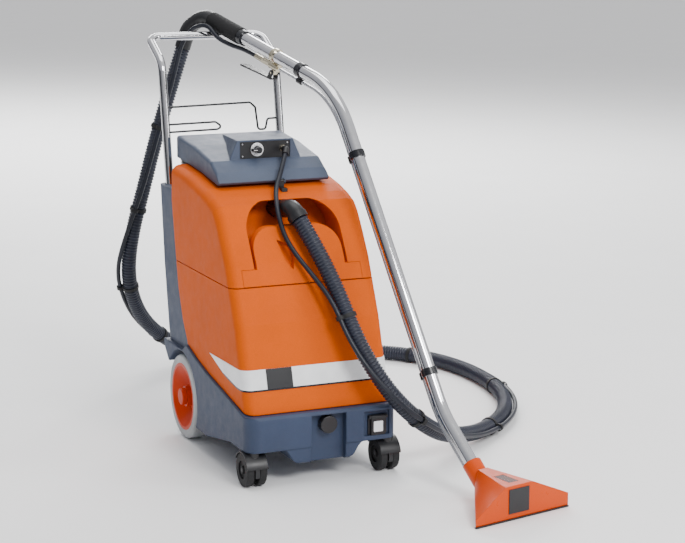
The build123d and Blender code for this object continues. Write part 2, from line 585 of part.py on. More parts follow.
def inner_works():
    base, top = SHELF_Z + 5, SHELF_Z + 42
    motor = rod(MOTOR_R, (0, MOTOR_Y, base), (0, MOTOR_Y, top))
    motor += rod(MOTOR_R - 14, (0, MOTOR_Y, top), (0, MOTOR_Y, top + 70))
    nodes["vacuum_motor"] = motor
    pump = box(-42, 10, 180, 260, BELLY_Z + 6, BELLY_Z + 56)
    pump += rod(24.0, (10, 220, BELLY_Z + 32), (62, 220, BELLY_Z + 32))
    nodes["pump"] = pump
    y, top = TANK_MOUTH_Y, along(TANK_TOP, TANK_MOUTH_Y, by=0) - 1
    cage = ring(34.0, 31.0, (0, y, 548.0), (0, y, top + 2)) + rod(34.0, (0, y, 544.0), (0, y, 548.5))
    for i in range(4):
        cage -= Pos(0, y, 586) * Rot(0, 0, 45 * i) * Box(16, 80, 50)
    cage += box(-9, 9, y - TANK_MOUTH_R + FIT, y - 31.5, top - 3, top)
    cage += box(-9, 9, y + 31.5, y + TANK_MOUTH_R - FIT, top - 3, top)
    nodes["float_cage"] = cage


# ---- handle, wire hooks and hose clip --------------------------------------------------------------
HANDLE_BEND_R = 42.0
BAR_BEND_R = 28.0
WIRE_R = 2.5
BOLT_R = 3.0
BOLT_Z = 545.0


def handle():
    def legs(s):
        return [leg_point(s, LEG_FOOT_Z), leg_point(s, LEG_TOP_Z), (s * LEG_X, BAR_Y, BAR_Z)]
    route = legs(-1) + list(reversed(legs(1)))
    tube = swept(TUBE_R, route, [HANDLE_BEND_R, BAR_BEND_R, BAR_BEND_R, HANDLE_BEND_R])
    for name, s in (("left", -1), ("right", 1)):
        tube -= rod(BOLT_R + 0.1, (s * LEG_X, 500, BOLT_Z), (s * LEG_X, 700, BOLT_Z))
    nodes["handle_tube"] = tube
    bolts = Part()
    for s in (-1, 1):
        back = along(COLUMN_BACK, BOLT_Z)
        bolt = rod(BOLT_R, (s * LEG_X, leg_y(BOLT_Z) - 14, BOLT_Z), (s * LEG_X, back + 1.0, BOLT_Z))
        head = rod(6.0, (s * LEG_X, back + 1.0, BOLT_Z), (s * LEG_X, back + 5.0, BOLT_Z))
        bolts += bolt + head
        nodes["chassis_base"] -= rod(BOLT_R + 0.1, (s * LEG_X, leg_y(BOLT_Z) - 14, BOLT_Z),
                                     (s * LEG_X, 700, BOLT_Z))

    nodes["handle_bolts"] = bolts

    def wire(points, radii):
        in_plane = [(x, leg_y(z), z) for x, z in points]
        route = swept(WIRE_R, in_plane, radii)
        for s in (-1, 1):
            route -= rod(TUBE_R + 0.02, leg_point(s, 600), leg_point(s, 860))
        return route
    hooks = wire([(-LEG_X + 6, 765), (72, 769), (85, 757), (89, 703), (108, 703), (115, 728),
                  (LEG_X - 6, 729)], [9, 7, 7, 7, 7])
    hooks += wire([(-LEG_X + 6, 724), (-20, 726), (-4, 714), (-16, 708), (-LEG_X + 6, 706)], [7, 5, 5])
    nodes["wire_hooks"] = hooks
    x, y = -COLUMN_HALF_W + 46, along(COLUMN_BACK, 552.0)
    clip = box(x - 9, x + 9, y - 0.5, y + 4, 535, 570)
    clip += box(x - 9, x + 9, y + 3, y + 26, 535, 539) + box(x - 9, x + 9, y + 22, y + 26, 539, 556)
    nodes["hose_clip"] = clip - nodes["chassis_base"]


# ---- wand, leaning on the handle bar, in its own upright plane -------------------------------------
WAND_REST = 0.4
WAND_SLOPE = 0.25              # rise of the upper stretch
WAND_END_S = 1194.0
WAND_BEND_S = 671.0
WAND_ROUTE_LOW = [(128.0, 36.0), (272.0, 164.0)]
WAND_BEND_R = 220.0
WAND_FOOT_R = 240.0
ELBOW_R = 51.0
GRIP_L = 130.0
VALVE_S = 912.0
CLIP_W = 16.0
yaw = radians(WAND_YAW)
ACROSS = Vector(cos(yaw), sin(yaw), 0)
ALONG = Vector(-sin(yaw), cos(yaw), 0)


def wand_z(s):
    """Height of the upper stretch, set so that the grip rests on the handle bar."""
    bar_s = (BAR_Y - TOOL_Y) / cos(yaw)
    slope = atan2(WAND_SLOPE, 1)
    at_bar = BAR_Z + (TUBE_R + GRIP_R + WAND_REST) / cos(slope)
    return at_bar + WAND_SLOPE * (s - bar_s)


def wand_at(s, z, side=0.0):
    point = Vector(TOOL_X, TOOL_Y, 0) + ALONG * s + ACROSS * side
    return (point.X, point.Y, z)


def wand_line():
    return WAND_ROUTE_LOW + [(WAND_BEND_S, wand_z(WAND_BEND_S)), (WAND_END_S, wand_z(WAND_END_S))]


def lowered(route, drop):
    """The wand's line moved at right angles to its under side."""
    def unit(a, b):
        length = ((b[0] - a[0]) ** 2 + (b[1] - a[1]) ** 2) ** 0.5
        return (b[0] - a[0]) / length, (b[1] - a[1]) / length
    legs = [unit(a, b) for a, b in zip(route, route[1:])]
    out = [(route[0][0] + drop * legs[0][1], route[0][1] - drop * legs[0][0])]
    for (x, z), (ax, az), (bx, bz) in zip(route[1:-1], legs, legs[1:]):
        half = (1 + ax * bx + az * bz)
        out.append((x + drop * (az + bz) / half, z - drop * (ax + bx) / half))
    out.append((route[-1][0] + drop * legs[-1][1], route[-1][1] - drop * legs[-1][0]))
    return out


def upper(s, drop=0.0, side=0.0):
    """A point beside the upper stretch: s along the plane, drop below its line."""
    slope = atan2(WAND_SLOPE, 1)
    return wand_at(s + drop * sin(slope), wand_z(s) - drop * cos(slope), side)


def wand():
    route = wand_line()
    points = [wand_at(*p) for p in route]
    nodes["wand_tube"] = swept(WAND_R, points, [WAND_FOOT_R, WAND_BEND_R], inner=WAND_R - WAND_WALL)
    grip_start = WAND_END_S - GRIP_L
    grip = ring(GRIP_R, WAND_R + 0.02, upper(grip_start), upper(WAND_END_S))
    nodes["wand_grip"] = fillet(grip.edges().filter_by(GeomType.CIRCLE).sort_by(SortBy.RADIUS)[-2:], GRIP_WALL * 2 / 3)
    nodes["wand_collar"] = ring(GRIP_R - 2.5, WAND_R + 0.02, upper(grip_start - 18), upper(grip_start - 0.2))
    end = Vector(*upper(WAND_END_S))
    out_dir = (end - Vector(*upper(WAND_END_S - 100))).normalized()
    last, before = Vector(*HOSE_ROUTE[-1]), Vector(*HOSE_ROUTE[-2])
    knee = last + (last - before).normalized() * 56
    elbow = swept(HOSE_R + 1.0, [tuple(end + out_dir * 0.2), tuple(end + out_dir * 40),
                                 tuple(knee), tuple(last)], [ELBOW_R, ELBOW_R], inner=HOSE_R - 4)
    nodes["hose_elbow"] = elbow

    # spray tube under the wand, from the valve down to the jet
    line = [(s, z) for s, z in lowered(route, SPRAY_TUBE_DROP)]
    slope = atan2(WAND_SLOPE, 1)
    share = (VALVE_S - 16 - line[2][0]) / (line[3][0] - line[2][0])
    line[3] = (VALVE_S - 16, line[2][1] + share * (line[3][1] - line[2][1]))
    foot = line[0]
    line[0] = (foot[0] + 26, foot[1] + 26 * (line[1][1] - foot[1]) / (line[1][0] - foot[0]))
    nodes["spray_tube"] = swept(SPRAY_TUBE_R, [wand_at(*p) for p in line],
                                [WAND_FOOT_R + SPRAY_TUBE_DROP, WAND_BEND_R - SPRAY_TUBE_DROP])
    drop = SPRAY_TUBE_DROP
    block = rod(9.0, upper(VALVE_S - 16, drop), upper(VALVE_S + 16, drop))
    block += rod(7.0, upper(VALVE_S, drop), upper(VALVE_S, drop + 15))
    yoke = rod(6.0, upper(VALVE_S, drop + 15, -6), upper(VALVE_S, drop + 15, 6))
    block += yoke
    block += rod(2.5, upper(VALVE_S, drop + 15, -10), upper(VALVE_S, drop + 15, 10))
    band = ring(WAND_R + 3, WAND_R + 0.02, upper(VALVE_S - 6), upper(VALVE_S + 6))
    band += rod(4.0, upper(VALVE_S, WAND_R + 1.5), upper(VALVE_S, drop))
    nodes["valve_body"] = block + band
    tail = Plane(origin=upper(VALVE_S + 16, drop), z_dir=out_dir) * RegularPolygon(8.0, 6)
    nut = extrude(tail, amount=34) + rod(6.5, upper(VALVE_S + 48, drop), VALVE_INLET)
    nodes["valve_nut"] = nut
    trigger(drop)
    clips(route)


LEVER_L = 128.0
LEVER_DIP = 26.0


def trigger(drop):
    """Spray lever on a pin through the valve's yoke, its finger end under the grip."""
    pivot = drop + 15
    lever = Part()
    for side in (-8.6, 8.6):
        a, b = upper(VALVE_S, pivot, side - 1.4), upper(VALVE_S, pivot, side + 1.4)
        lever += rod(7.0, a, b)
    cheek = [upper(VALVE_S - 3, pivot + 12, 0), upper(VALVE_S + 40, pivot + 14, 0),
             upper(VALVE_S + LEVER_L, pivot + LEVER_DIP - 6, 0), upper(VALVE_S + LEVER_L, pivot + LEVER_DIP - 2, 0),
             upper(VALVE_S + 40, pivot + 18, 0), upper(VALVE_S - 3, pivot + 16, 0)]
    blade = extrude(make_face(Polyline(*cheek, close=True)), amount=10.0, dir=ACROSS, both=True)
    for side in (-8.6, 8.6):
        leaf = [upper(VALVE_S - 5, pivot, side), upper(VALVE_S + 7, pivot, side),
                upper(VALVE_S + 14, pivot + 15, side), upper(VALVE_S - 3, pivot + 15, side)]
        lever += extrude(make_face(Polyline(*leaf, close=True)), amount=1.4, dir=ACROSS, both=True)
    lever += blade
    lever -= rod(2.5 + RUN_FIT, upper(VALVE_S, pivot, -12), upper(VALVE_S, pivot, 12))
    nodes["trigger_lever"] = lever


def route_point(route, share_low, share_high, share):
    a, b = route[share_low], route[share_high]
    return (a[0] + share * (b[0] - a[0]), a[1] + share * (b[1] - a[1]))


def clips(route):
    """Clips that hold the spray tube to the wand, on the straight stretches."""
    spots = [(2, 3, 0.26), (1, 2, 0.79), (1, 2, 0.12)]
    joined = Part()
    for low, high, share in spots:
        s, z = route_point(route, low, high, share)
        a, b = route[low], route[high]
        length = ((b[0] - a[0]) ** 2 + (b[1] - a[1]) ** 2) ** 0.5
        ds, dz = (b[0] - a[0]) / length, (b[1] - a[1]) / length
        def at(t, drop):
            return wand_at(s + ds * t + dz * drop, z + dz * t - ds * drop)
        half = CLIP_W / 2
        clip = rod(WAND_R + 3.0, at(-half, 0), at(half, 0))
        clip += rod(SPRAY_TUBE_R + 3.0, at(-half, SPRAY_TUBE_DROP), at(half, SPRAY_TUBE_DROP))
        clip += rod(4.5, at(0, 0), at(0, SPRAY_TUBE_DROP))
        clip -= rod(WAND_R + 0.02, at(-half - 1, 0), at(half + 1, 0))
        clip -= rod(SPRAY_TUBE_R + 0.02, at(-half - 1, SPRAY_TUBE_DROP), at(half + 1, SPRAY_TUBE_DROP))
        joined += clip
    nodes["wand_clips"] = joined


# ---- floor tool ----------------------------------------------------------------------------------
TOOL_WALL = 3.0
TOOL_BACK_S = 132.0
TOOL_LOW = 3.0
LEFT_DROP = 13.0              # the tool's left end is lower than its right end


def floor_tool():
    """Fan-shaped shell that narrows from the mouth to the neck the wand plugs into."""
    def section(s, half, shoulder, edge_z, crown, low, left_drop=0.0):
        outline = [(-half, low), (-half, edge_z - left_drop), (-shoulder, crown), (shoulder * 0.6, crown),
                   (half, edge_z), (half, low)]
        return make_face(Polyline(*[wand_at(s, z, x) for x, z in outline], close=True))
    front = section(6, TOOL_HALF_W, 46, 30, 73, TOOL_LOW, LEFT_DROP)
    neck = section(TOOL_BACK_S, 25, 16, 40, 74, 22)
    shell = loft([front, neck], ruled=True)
    inner_front = section(6 + TOOL_WALL, TOOL_HALF_W - 2 * TOOL_WALL, 42, 30 - TOOL_WALL, 72 - TOOL_WALL,
                          TOOL_LOW - 2, LEFT_DROP)
    inner_neck = section(TOOL_BACK_S - 6, 22, 14, 40, 71, 26)
    rise = (WAND_ROUTE_LOW[1][1] - WAND_ROUTE_LOW[0][1]) / (WAND_ROUTE_LOW[1][0] - WAND_ROUTE_LOW[0][0])
    def on_line(s):
        return wand_at(s, WAND_ROUTE_LOW[0][1] + rise * (s - WAND_ROUTE_LOW[0][0]))
    socket = rod(WAND_R + 6.0, on_line(112), on_line(172))
    shell += socket
    hollow = loft([inner_front, inner_neck], ruled=True)
    shell -= hollow
    shell -= rod(WAND_R - 2.0, on_line(100), on_line(140))
    shell -= rod(WAND_R + 0.02, on_line(WAND_ROUTE_LOW[0][0]), on_line(176))
    slot_w = 17.0
    cut = Part() + extrude(make_face(Polyline(*[wand_at(s, 40, x) for x, s in
                                               ((-slot_w - 4, 26), (slot_w - 12, 26), (slot_w - 12, 76),
                                                (-slot_w - 4, 76))], close=True)), amount=60, dir=(0, 0, 1))
    top_plane = loft([section(6, TOOL_HALF_W, 46, 30, 73, TOOL_LOW, LEFT_DROP), section(TOOL_BACK_S, 25, 16, 40, 74, 22)],
                     ruled=True)
    nodes["sight_window"] = (cut & top_plane) - hollow
    nodes["floor_tool"] = shell - cut
    lip = make_face(Polyline(*[wand_at(s, 0.2, x) for x, s in ((-TOOL_HALF_W, 3), (TOOL_HALF_W, 3),
                                                              (TOOL_HALF_W, 9), (-TOOL_HALF_W, 9))], close=True))
    nodes["tool_lip"] = extrude(lip, amount=TOOL_LOW - 0.4, dir=(0, 0, 1))
    plate = make_face(Polyline(*[wand_at(5.8, z, x) for x, z in ((-38, 14), (16, 14), (16, 66), (-38, 66))],
                               close=True))
    nodes["tool_plate"] = extrude(plate, amount=1.6, dir=-ALONG)


# ---- hoses: hand-chosen routes, straight runs joined by arcs ------------------------------------------
HOSE_ROUTE = [
    HOSE_EXIT, HOSE_NEXT, (64, 44, 396), (84, 4, 312), (114, -34, 238), (168, -54, 160),
    (254, -34, 90), (346, 44, 46), (452, 118, 22), (552, 202, 20), (628, 308, 20), (680, 430, 20),
    (706, 562, 20), (706, 698, 20), (674, 830, 20), (600, 938, 20), (488, 1012, 20), (362, 1062, 20),
    (232, 1088, 22), (104, 1088, 32), (0, 1052, 78), (-84, 990, 146), (-142, 926, 226), (-168, 888, 322),
    (-158, 866, 430), (-132, 850, 535), (-106, 842, 640), (-76, 834, 745), (-50, 826, 830), (-32, 820, 890),
]
PLUG_KNEE = (COUPLING_X, PANEL_Y - 21, DIAL_Z)
SPRAY_EXIT = (COUPLING_X - 7, PANEL_Y - 31, DIAL_Z - 10)
SPRAY_ROUTE = [
    SPRAY_EXIT, (23, 277, 662), (8, 259, 638), (-9, 237, 616), (-24, 200, 598), (-34, 160, 564),
    (-31, 130, 522), (-14, 104, 484), (8, 80, 450), (41, 31, 392), (62, -10, 312), (98, -56, 238),
    (166, -81, 160), (266, -58, 90), (362, 23, 46), (468, 97, 22), (571, 184, 20), (651, 295, 20),
    (705, 422, 20), (732, 559, 20), (732, 701, 20), (698, 841, 20), (619, 957, 20), (500, 1035, 20),
    (369, 1087, 20), (235, 1114, 22), (100, 1114, 32), (-12, 1075, 78), (-102, 1009, 146),
    (-162, 942, 226), (-198, 891, 322), (-178, 848, 430), (-143, 826, 535), (-113, 817, 640),
    (-83, 809, 745), (-57, 800, 842), (-46, 790, 900), (-26, 764, 944),
]
# the thin hose's last stretch beside the grip: s along the wand, drop below it, side
SPRAY_TAIL = [(1168.0, 0.0, -32.0), (1128.0, 22.0, -28.0), (1092.0, 31.0, -8.0), (1040.0, SPRAY_TUBE_DROP, 0.0)]
TIE_W = 9.0
TIE_T = 2.0
FLOOR_GAP = 0.2
TIE_AT = ((2, 9), (5, 12), (8, 15), (11, 18), (14, 21), (17, 24), (20, 27), (22, 29), (24, 31), (26, 33))


def middle(route, index):
    a, b = Vector(*route[index]), Vector(*route[index + 1])
    return (a + b) * 0.5, (b - a).normalized()


def hoses():
    """The two free hoses, each a plain tube, and the ties that strap the thin one to the other."""
    tail = [upper(s, drop, side) for s, drop, side in SPRAY_TAIL]
    spray = SPRAY_ROUTE + tail + [VALVE_INLET]
    print("spray tail", [tuple(round(v, 1) for v in p) for p in tail + [VALVE_INLET]])
    for name, radius, route in (("vacuum_hose", HOSE_R, HOSE_ROUTE), ("spray_hose", SPRAY_R, spray)):
        radii = corner_radii(route)
        nodes[name] = swept(radius, route, radii)
        path = FilletPolyline(*route, radius=radii)
        exact = 3.14159265 * radius ** 2 * path.length
        print(name, "length", round(path.length), "least radius", round(min(radii)),
              "volume / (section x length)", round(nodes[name].volume / exact, 4))
        print("  radii", [round(r) for r in radii])
    ties = Part()
    for thick_i, thin_i in TIE_AT:
        thick, way = middle(HOSE_ROUTE, thick_i)
        thin, _ = middle(spray, thin_i)
        thin = thin - way * way.dot(thin - thick)
        half = way * (TIE_W / 2)
        tie = rod(HOSE_R + TIE_T + FIT, thick - half, thick + half)
        tie += rod(SPRAY_R + TIE_T + 4 * FIT, thin - half, thin + half)
        tie -= rod(HOSE_R + FIT, thick - half * 1.2, thick + half * 1.2)
        tie -= rod(SPRAY_R + 4 * FIT, thin - half * 1.2, thin + half * 1.2)
        ties += tie & box(-2000, 2000, -2000, 2000, FLOOR_GAP, 2000)
    nodes["hose_ties"] = ties


def coupling_elbow():
    """The plug on the thin hose: turns down from the panel's quick coupling."""
    start = (COUPLING_X, PANEL_Y - 6.2, DIAL_Z)
    plug = swept(7.5, [start, PLUG_KNEE, SPRAY_EXIT], [9.0])
    nodes["spray_plug"] = plug


def latch():
    """Front latch: an over-centre lever on the cover's lip and the keeper on the tank."""
    y = HOOD_FOOT[-1][0]
    pin = rod(2.0, (LATCH_X - 9, y - 12.5, 626), (LATCH_X + 9, y - 12.5, 626))
    cheeks = box(LATCH_X - 9, LATCH_X - 6, y - 16, y - 5.4, 621, 631)
    cheeks += box(LATCH_X + 6, LATCH_X + 9, y - 16, y - 5.4, 621, 631)
    nodes["head_cover"] += box(LATCH_X - 9, LATCH_X + 9, y - 8, y + 1, 621.5, 631) + cheeks + pin
    lever = box(LATCH_X - 5.5, LATCH_X + 5.5, y - 16, y - 12, along(TANK_TOP, y - 12, by=0) + 1.0, 626)
    lever += rod(4.0, (LATCH_X - 5.5, y - 12.5, 626), (LATCH_X + 5.5, y - 12.5, 626))
    lever -= rod(2.0 + RUN_FIT, (LATCH_X - 10, y - 12.5, 626), (LATCH_X + 10, y - 12.5, 626))
    nodes["cover_latch"] = lever
    above = side_prism([(py, pz + 0.05) for py, pz in TANK_TOP] + [(494.0, 700.0), (198.0, 700.0)], -50, 50)
    top = along(TANK_TOP, y - 26, by=0)
    nodes["latch_keeper"] = box(LATCH_X - 7, LATCH_X + 7, y - 34, y - 19, top - 8, top + 6) & above


LATCH_X = 14.0


# ---- build, move to the common origin and write ---------------------------------------------------------
def build():
    global VALVE_INLET
    VALVE_INLET = upper(VALVE_S + 16 + 34 + 30, SPRAY_TUBE_DROP)
    tanks()
    filler()
    stripe()
    chassis()
    drain()
    power_socket()
    rear_wheels()
    castors()
    head_cover()
    under_cover()
    hose_port()
    inner_works()
    latch()
    handle()
    wand()
    floor_tool()
    coupling_elbow()
    hoses()


def write():
    """Centre the footprint of everything but the cords on the origin, then write each node."""
    low, high = [1e9, 1e9], [-1e9, -1e9]
    for name, solid in nodes.items():
        if name.startswith(CORD_PIECES):
            continue
        bounds = solid.bounding_box()
        low = [min(low[0], bounds.min.X), min(low[1], bounds.min.Y)]
        high = [max(high[0], bounds.max.X), max(high[1], bounds.max.Y)]
    middle_x, middle_y = (low[0] + high[0]) / 2, (low[1] + high[1]) / 2
    print("machine frame origin at", round(-middle_x, 3), round(-middle_y, 3))
    os.makedirs("parts", exist_ok=True)
    for name, solid in nodes.items():
        export_step(Pos(-middle_x, -middle_y, 0) * solid, f"parts/{name}.step")
    print(len(nodes), "nodes")


CORD_PIECES = ("vacuum_hose", "spray_hose", "spray_plug", "hose_ties")
if __name__ == "__main__":
    build()
    write()
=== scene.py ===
import json
from math import cos, pi, radians, sin

import bpy
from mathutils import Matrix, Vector


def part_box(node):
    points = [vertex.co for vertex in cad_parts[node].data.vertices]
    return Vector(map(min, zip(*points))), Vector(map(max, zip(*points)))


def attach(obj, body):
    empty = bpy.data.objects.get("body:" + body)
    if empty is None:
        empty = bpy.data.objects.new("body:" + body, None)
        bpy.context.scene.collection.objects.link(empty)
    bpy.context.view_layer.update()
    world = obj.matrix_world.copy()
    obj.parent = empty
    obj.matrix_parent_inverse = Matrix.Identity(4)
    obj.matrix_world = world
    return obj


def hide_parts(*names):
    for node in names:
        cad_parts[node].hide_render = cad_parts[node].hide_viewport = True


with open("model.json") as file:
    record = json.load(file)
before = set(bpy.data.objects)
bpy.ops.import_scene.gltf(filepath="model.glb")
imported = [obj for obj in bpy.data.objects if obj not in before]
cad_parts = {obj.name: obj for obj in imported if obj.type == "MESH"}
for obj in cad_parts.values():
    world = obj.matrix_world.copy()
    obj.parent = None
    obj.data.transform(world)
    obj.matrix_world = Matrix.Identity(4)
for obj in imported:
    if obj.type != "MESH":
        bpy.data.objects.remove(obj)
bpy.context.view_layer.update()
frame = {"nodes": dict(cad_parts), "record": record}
NODES = frame["nodes"]

# The part's own middle plane and wheel line give the shift from its drawing frame, in metres.
axle_low, axle_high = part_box("rear_axle")
AXLE_Y = 0.428
MID_X = (axle_low.x + axle_high.x) / 2
OFF_Y = (axle_low.y + axle_high.y) / 2 - AXLE_Y


def at(x, y, z):
    """A point given in the part's drawing frame, in millimetres."""
    return Vector((x / 1000 + MID_X, y / 1000 + OFF_Y, z / 1000))


# ---- camera ---------------------------------------------------------------------------------
CAMERA_PLACE = (-1504, -3618, 1235)
CAMERA_LOOK = (0.3877, 0.9014, -0.1929)
CAMERA_LENS = 97.2
camera_data = bpy.data.cameras.new("camera")
camera_data.lens = CAMERA_LENS
camera_data.sensor_width = 36.0
camera = bpy.data.objects.new("camera", camera_data)
camera.location = at(*CAMERA_PLACE)
camera.rotation_euler = Vector(CAMERA_LOOK).to_track_quat("-Z", "Y").to_euler()
bpy.context.scene.collection.objects.link(camera)
bpy.context.scene.camera = camera


# ---- helpers --------------------------------------------------------------------------------
def link(obj, material=None, body="machine", smooth=True):
    bpy.context.scene.collection.objects.link(obj)
    if material:
        obj.data.materials.append(material)
    if obj.type == "MESH" and smooth:
        obj.data.polygons.foreach_set("use_smooth", [True] * len(obj.data.polygons))
    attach(obj, body)
    return obj


def mesh_object(name, verts, faces, material, body="machine", smooth=True):
    mesh = bpy.data.meshes.new(name)
    mesh.from_pydata([tuple(v) for v in verts], [], faces)
    mesh.validate()
    return link(bpy.data.objects.new(name, mesh), material, body, smooth)


def sampled(route, steps=14):
    """Points of the order 3 spline whose control points are the route's."""
    curve = spline_curve("guide", route, steps)
    guide = bpy.data.objects.new("guide", curve)
    mesh = bpy.data.meshes.new_from_object(guide)
    points = [v.co.copy() for v in mesh.vertices]
    bpy.data.objects.remove(guide)
    bpy.data.meshes.remove(mesh)
    bpy.data.curves.remove(curve)
    return points


def spline_curve(name, route, steps=14):
    curve = bpy.data.curves.new(name, "CURVE")
    curve.dimensions = "3D"
    curve.resolution_u = steps
    spline = curve.splines.new("NURBS")
    spline.points.add(len(route) - 1)
    for point, co in zip(spline.points, route):
        point.co = (*co, 1.0)
    spline.order_u = 3
    spline.use_endpoint_u = True
    return curve


def even(points, step):
    """The same line with points at even steps."""
    out, need = [points[0]], step
    for a, b in zip(points, points[1:]):
        length = (b - a).length
        while need <= length:
            out.append(a.lerp(b, need / length))
            need += step
        need -= length
    out.append(points[-1])
    return out


def frames_along(points):
    """A tangent and two side directions at each point, turning as little as possible."""
    tangents = [(b - a).normalized() for a, b in zip(points, points[1:])]
    tangents.append(tangents[-1])
    side = tangents[0].orthogonal().normalized()
    out = []
    for before, tangent in zip([tangents[0]] + tangents, tangents):
        side = before.rotation_difference(tangent) @ side
        side = (side - tangent * side.dot(tangent)).normalized()
        out.append((tangent, side, tangent.cross(side)))
    return out


def tube(name, points, radius_at, material, body="machine", sides=20):
    """A round tube along points; radius_at(distance) gives its radius."""
    verts, faces, distance = [], [], 0.0
    frames = frames_along(points)
    for i, (point, (_, u, v)) in enumerate(zip(points, frames)):
        if i:
            distance += (point - points[i - 1]).length
        r = radius_at(distance)
        for k in range(sides):
            angle = 2 * pi * k / sides
            verts.append(point + (u * cos(angle) + v * sin(angle)) * r)
    for i in range(len(points) - 1):
        for k in range(sides):
            a, b = i * sides + k, i * sides + (k + 1) % sides
            faces.append((a, b, b + sides, a + sides))
    faces.append(tuple(reversed(range(sides))))
    last = (len(points) - 1) * sides
    faces.append(tuple(range(last, last + sides)))
    return mesh_object(name, verts, faces, material, body)


def turned(name, profile, origin, axis, material, body="machine", sides=40):
    """A solid of revolution; profile is a closed loop of (radius, along) in millimetres."""
    axis = Vector(axis).normalized()
    u = axis.orthogonal().normalized()
    v = axis.cross(u)
    verts, faces, rows = [], [], len(profile)
    for k in range(sides):
        angle = 2 * pi * k / sides
        out = u * cos(angle) + v * sin(angle)
        verts += [origin + out * (r / 1000) + axis * (h / 1000) for r, h in profile]
    for k in range(sides):
        a, b = k * rows, ((k + 1) % sides) * rows
        for i in range(rows):
            j = (i + 1) % rows
            faces.append((a + i, b + i, b + j, a + j))
    return mesh_object(name, verts, faces, material, body)


def rounded_plate(name, centre, right, up, out, half_w, half_h, corner, thick, material,
                  body="machine"):
    """A thin plate with round corners; sizes in millimetres."""
    right, up, out = (Vector(d).normalized() for d in (right, up, out))
    outline = []
    for cx, cy, start in ((1, 1, 0), (-1, 1, 90), (-1, -1, 180), (1, -1, 270)):
        for k in range(7):
            a = radians(start + 15 * k)
            outline.append(((half_w - corner) * cx + corner * cos(a),
                            (half_h - corner) * cy + corner * sin(a)))
    verts, faces, n = [], [], len(outline)
    rings = ((0.0, 0.0), (0.0, thick * 0.6), (-thick * 0.4, thick))
    for inset, depth in rings:
        for x, y in outline:
            sx, sy = (1 + inset / half_w) * x, (1 + inset / half_h) * y
            verts.append(centre + (right * sx + up * sy + out * depth) / 1000)
    for row in range(len(rings) - 1):
        for i in range(n):
            j = (i + 1) % n
            faces.append((row * n + i, row * n + j, (row + 1) * n + j, (row + 1) * n + i))
    faces.append(tuple(range(2 * n, 3 * n)))
    faces.append(tuple(reversed(range(n))))
    return mesh_object(name, verts, faces, material, body, smooth=False)


# ---- materials ------------------------------------------------------------------------------
class Nodes:
    def __init__(self, name):
        self.material = bpy.data.materials.new(name)
        self.material.use_nodes = True
        self.tree = self.material.node_tree
        self.shader = self.tree.nodes["Principled BSDF"]
        coords = self.tree.nodes.new("ShaderNodeTexCoord")
        self.coords = coords.outputs["Object"]

    def add(self, kind, **values):
        node = self.tree.nodes.new(kind)
        for key, value in values.items():
            if hasattr(node, key):
                setattr(node, key, value)
            else:
                node.inputs[key.replace("_", " ")].default_value = value
        return node

    def join(self, a, b):
        self.tree.links.new(a, b)

    def noise(self, scale, detail=3.0, rough=0.5, stretch=None):
        node = self.add("ShaderNodeTexNoise")
        node.inputs["Scale"].default_value = scale
        node.inputs["Detail"].default_value = detail
        node.inputs["Roughness"].default_value = rough
        source = self.coords
        if stretch:
            mapping = self.add("ShaderNodeMapping")
            mapping.inputs["Scale"].default_value = stretch
            self.join(source, mapping.inputs["Vector"])
            source = mapping.outputs["Vector"]
        self.join(source, node.inputs["Vector"])
        return node.outputs["Fac"]

    def ramp(self, value, stops):
        node = self.add("ShaderNodeValToRGB")
        ramp = node.color_ramp
        while len(ramp.elements) < len(stops):
            ramp.elements.new(0.5)
        for element, (position, colour) in zip(ramp.elements, stops):
            element.position = position
            element.color = (*colour, 1.0)
        self.join(value, node.inputs["Fac"])
        return node.outputs["Color"]

    def spread(self, value, low, high, start=0.3, end=0.7):
        node = self.add("ShaderNodeMapRange")
        node.inputs["From Min"].default_value = start
        node.inputs["From Max"].default_value = end
        node.inputs["To Min"].default_value = low
        node.inputs["To Max"].default_value = high
        self.join(value, node.inputs["Value"])
        return node.outputs["Result"]

    def bump(self, *layers, round_edges=0.0):
        """Layers are (height, distance in metres, strength)."""
        normal = None
        if round_edges:
            bevel = self.add("ShaderNodeBevel")
            bevel.samples = 6
            bevel.inputs["Radius"].default_value = round_edges
            normal = bevel.outputs["Normal"]
        for height, distance, strength in layers:
            node = self.add("ShaderNodeBump")
            node.inputs["Distance"].default_value = distance
            node.inputs["Strength"].default_value = strength
            self.join(height, node.inputs["Height"])
            if normal:
                self.join(normal, node.inputs["Normal"])
            normal = node.outputs["Normal"]
        self.join(normal, self.shader.inputs["Normal"])

    def set(self, **values):
        for key, value in values.items():
            self.shader.inputs[key.replace("_", " ")].default_value = value


def shade(colour, factor):
    return tuple(c * factor for c in colour)


